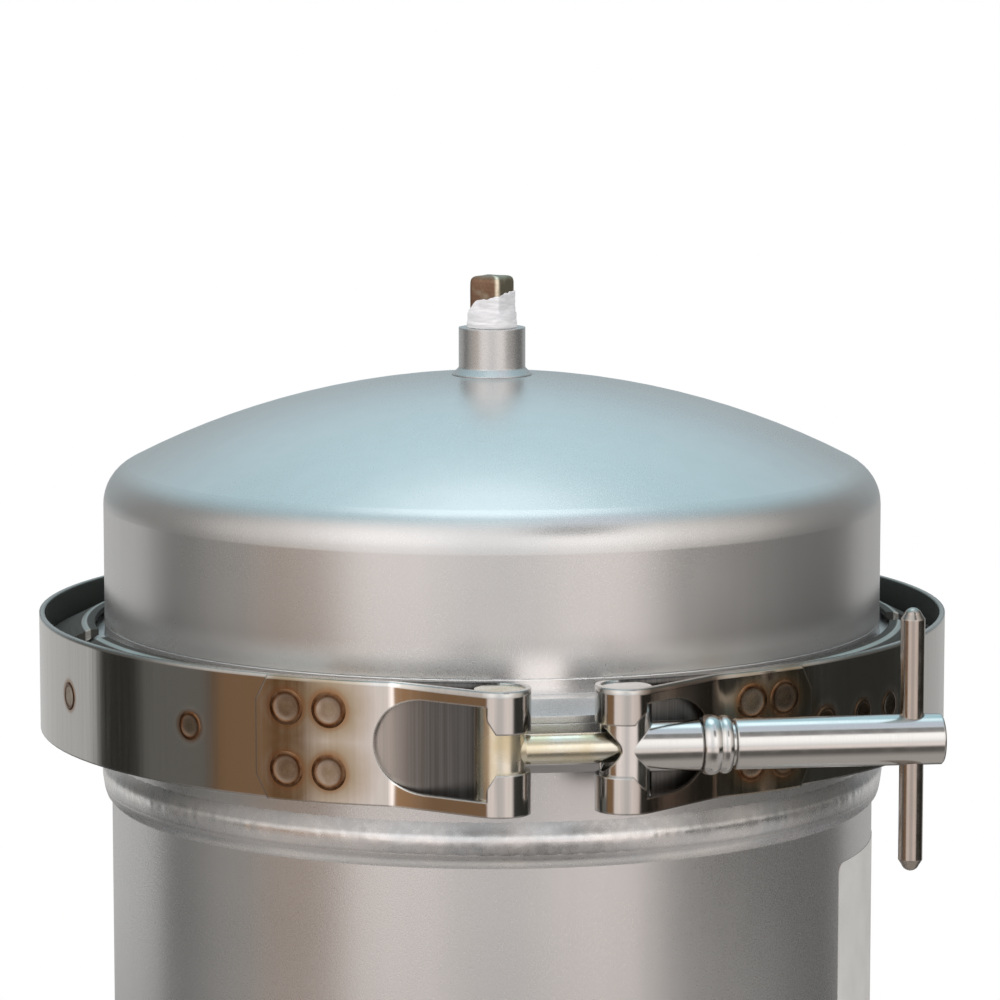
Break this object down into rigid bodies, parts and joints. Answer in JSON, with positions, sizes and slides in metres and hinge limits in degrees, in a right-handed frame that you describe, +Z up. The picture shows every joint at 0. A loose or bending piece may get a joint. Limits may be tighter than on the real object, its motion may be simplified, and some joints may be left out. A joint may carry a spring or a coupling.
{
  "type": "multi-cartridge filter housing",
  "caption": "Upright stainless filter vessel on legs with a domed head, V-band clamp with T-handle screw, side inlet and outlet, and cartridges on a tube sheet inside.",
  "frame": {"origin": "on the vessel's axis at the floor, the centre of the foot bolt circle", "axes": "+Z up along the vessel, +X towards the outlet, -Y towards the clamp's handle and the front"},
  "size_m": [0.3155, 0.3176, 0.5916],
  "materials": {
    "satin_steel": "bead-blasted satin",
    "leg_steel": "bead-blasted satin",
    "retainer_steel": "rolled mill finish",
    "polished_strap": "bright polished, heat-tinted at spot welds",
    "bright_steel": "turned and polished",
    "yellow_zinc": "pale yellow zinc plating",
    "plug_steel": "cast, slightly tarnished",
    "thread_tape": "soft white sealing tape",
    "seal_rubber": "matt black",
    "filter_media": "spun white fibre"
  },
  "bodies": {
    "housing": {"bottom_drain_coupling": "satin_steel", "bottom_head": "satin_steel", "cap_nuts": "bright_steel", "cartridge_1": "filter_media", "cartridge_2": "filter_media", "cartridge_3": "filter_media", "cartridge_4": "filter_media", "cartridge_5": "filter_media", "cartridge_6": "filter_media", "cartridge_7": "filter_media", "clamp_band": "polished_strap", "closure_o_ring": "seal_rubber", "foot_pad_1": "leg_steel", "foot_pad_2": "leg_steel", "foot_pad_3": "leg_steel", "guide_post_1": "bright_steel", "guide_post_2": "bright_steel", "guide_post_3": "bright_steel", "guide_post_4": "bright_steel", "guide_post_5": "bright_steel", "guide_post_6": "bright_steel", "guide_post_7": "bright_steel", "head_dome": "satin_steel", "head_flange": "satin_steel", "inlet_nozzle": "satin_steel", "leg_1": "leg_steel", "leg_2": "leg_steel", "leg_3": "leg_steel", "outlet_nozzle": "satin_steel", "seal_cap_1": "bright_steel", "seal_cap_2": "bright_steel", "seal_cap_3": "bright_steel", "seal_cap_4": "bright_steel", "seal_cap_5": "bright_steel", "seal_cap_6": "bright_steel", "seal_cap_7": "bright_steel", "shell_body": "satin_steel", "shell_flange": "satin_steel", "side_drain_coupling": "satin_steel", "t_bolt": "yellow_zinc", "trunnion_sleeve": "bright_steel", "tube_sheet": "satin_steel", "v_retainer_1": "retainer_steel", "v_retainer_2": "retainer_steel", "v_retainer_3": "retainer_steel", "v_retainer_4": "retainer_steel", "vent_coupling": "satin_steel"},
    "handle_travel": {"thrust_collar": "bright_steel"},
    "handle": {"handle_barrel": "bright_steel", "handle_bar": "bright_steel"},
    "vent_thread_tape": {"vent_tape": "thread_tape"},
    "vent_screw_plug": {"vent_plug": "plug_steel"},
    "side_thread_tape": {"side_drain_tape": "thread_tape"},
    "side_screw_plug": {"side_drain_plug": "plug_steel"},
    "bottom_thread_tape": {"bottom_drain_tape": "thread_tape"},
    "bottom_screw_plug": {"bottom_drain_plug": "plug_steel"}
  },
  "joints": [
    {"name": "handle_travel", "type": "slide", "parent": "housing", "child": "handle_travel", "axis": [0.9905, 0.1374, 0], "range_m": [0, 0.01694]},
    {"name": "handle_turn", "type": "hinge", "parent": "handle_travel", "child": "handle", "pos_m": [0.01862, -0.13422, 0.48], "axis": [0.9905, 0.1374, 0], "range_deg": [0, 4320]},
    {"name": "vent_plug_travel", "type": "slide", "parent": "housing", "child": "vent_thread_tape", "axis": [0, 0, 1], "range_m": [0, 0.00565]},
    {"name": "vent_plug_turn", "type": "hinge", "parent": "vent_thread_tape", "child": "vent_screw_plug", "pos_m": [0, 0, 0.5768], "axis": [0, 0, 1], "range_deg": [0, 1440]},
    {"name": "side_drain_plug_travel", "type": "slide", "parent": "housing", "child": "side_thread_tape", "axis": [0, -1, 0], "range_m": [0, 0.00726]},
    {"name": "side_drain_plug_turn", "type": "hinge", "parent": "side_thread_tape", "child": "side_screw_plug", "pos_m": [0, -0.12455, 0.223], "axis": [0, -1, 0], "range_deg": [0, 1440]},
    {"name": "bottom_drain_plug_travel", "type": "slide", "parent": "housing", "child": "bottom_thread_tape", "axis": [0, 0, -1], "range_m": [0, 0.00726]},
    {"name": "bottom_drain_plug_turn", "type": "hinge", "parent": "bottom_thread_tape", "child": "bottom_screw_plug", "pos_m": [0, 0, 0.06], "axis": [0, 0, -1], "range_deg": [0, 1440]}
  ],
  "couplings": [
    {"joint": "handle_travel", "follows": "handle_turn", "m_per_rad": 0.00022459},
    {"joint": "vent_plug_travel", "follows": "vent_plug_turn", "m_per_rad": 0.00022459},
    {"joint": "side_drain_plug_travel", "follows": "side_drain_plug_turn", "m_per_rad": 0.00028875},
    {"joint": "bottom_drain_plug_travel", "follows": "bottom_drain_plug_turn", "m_per_rad": 0.00028875}
  ]
}
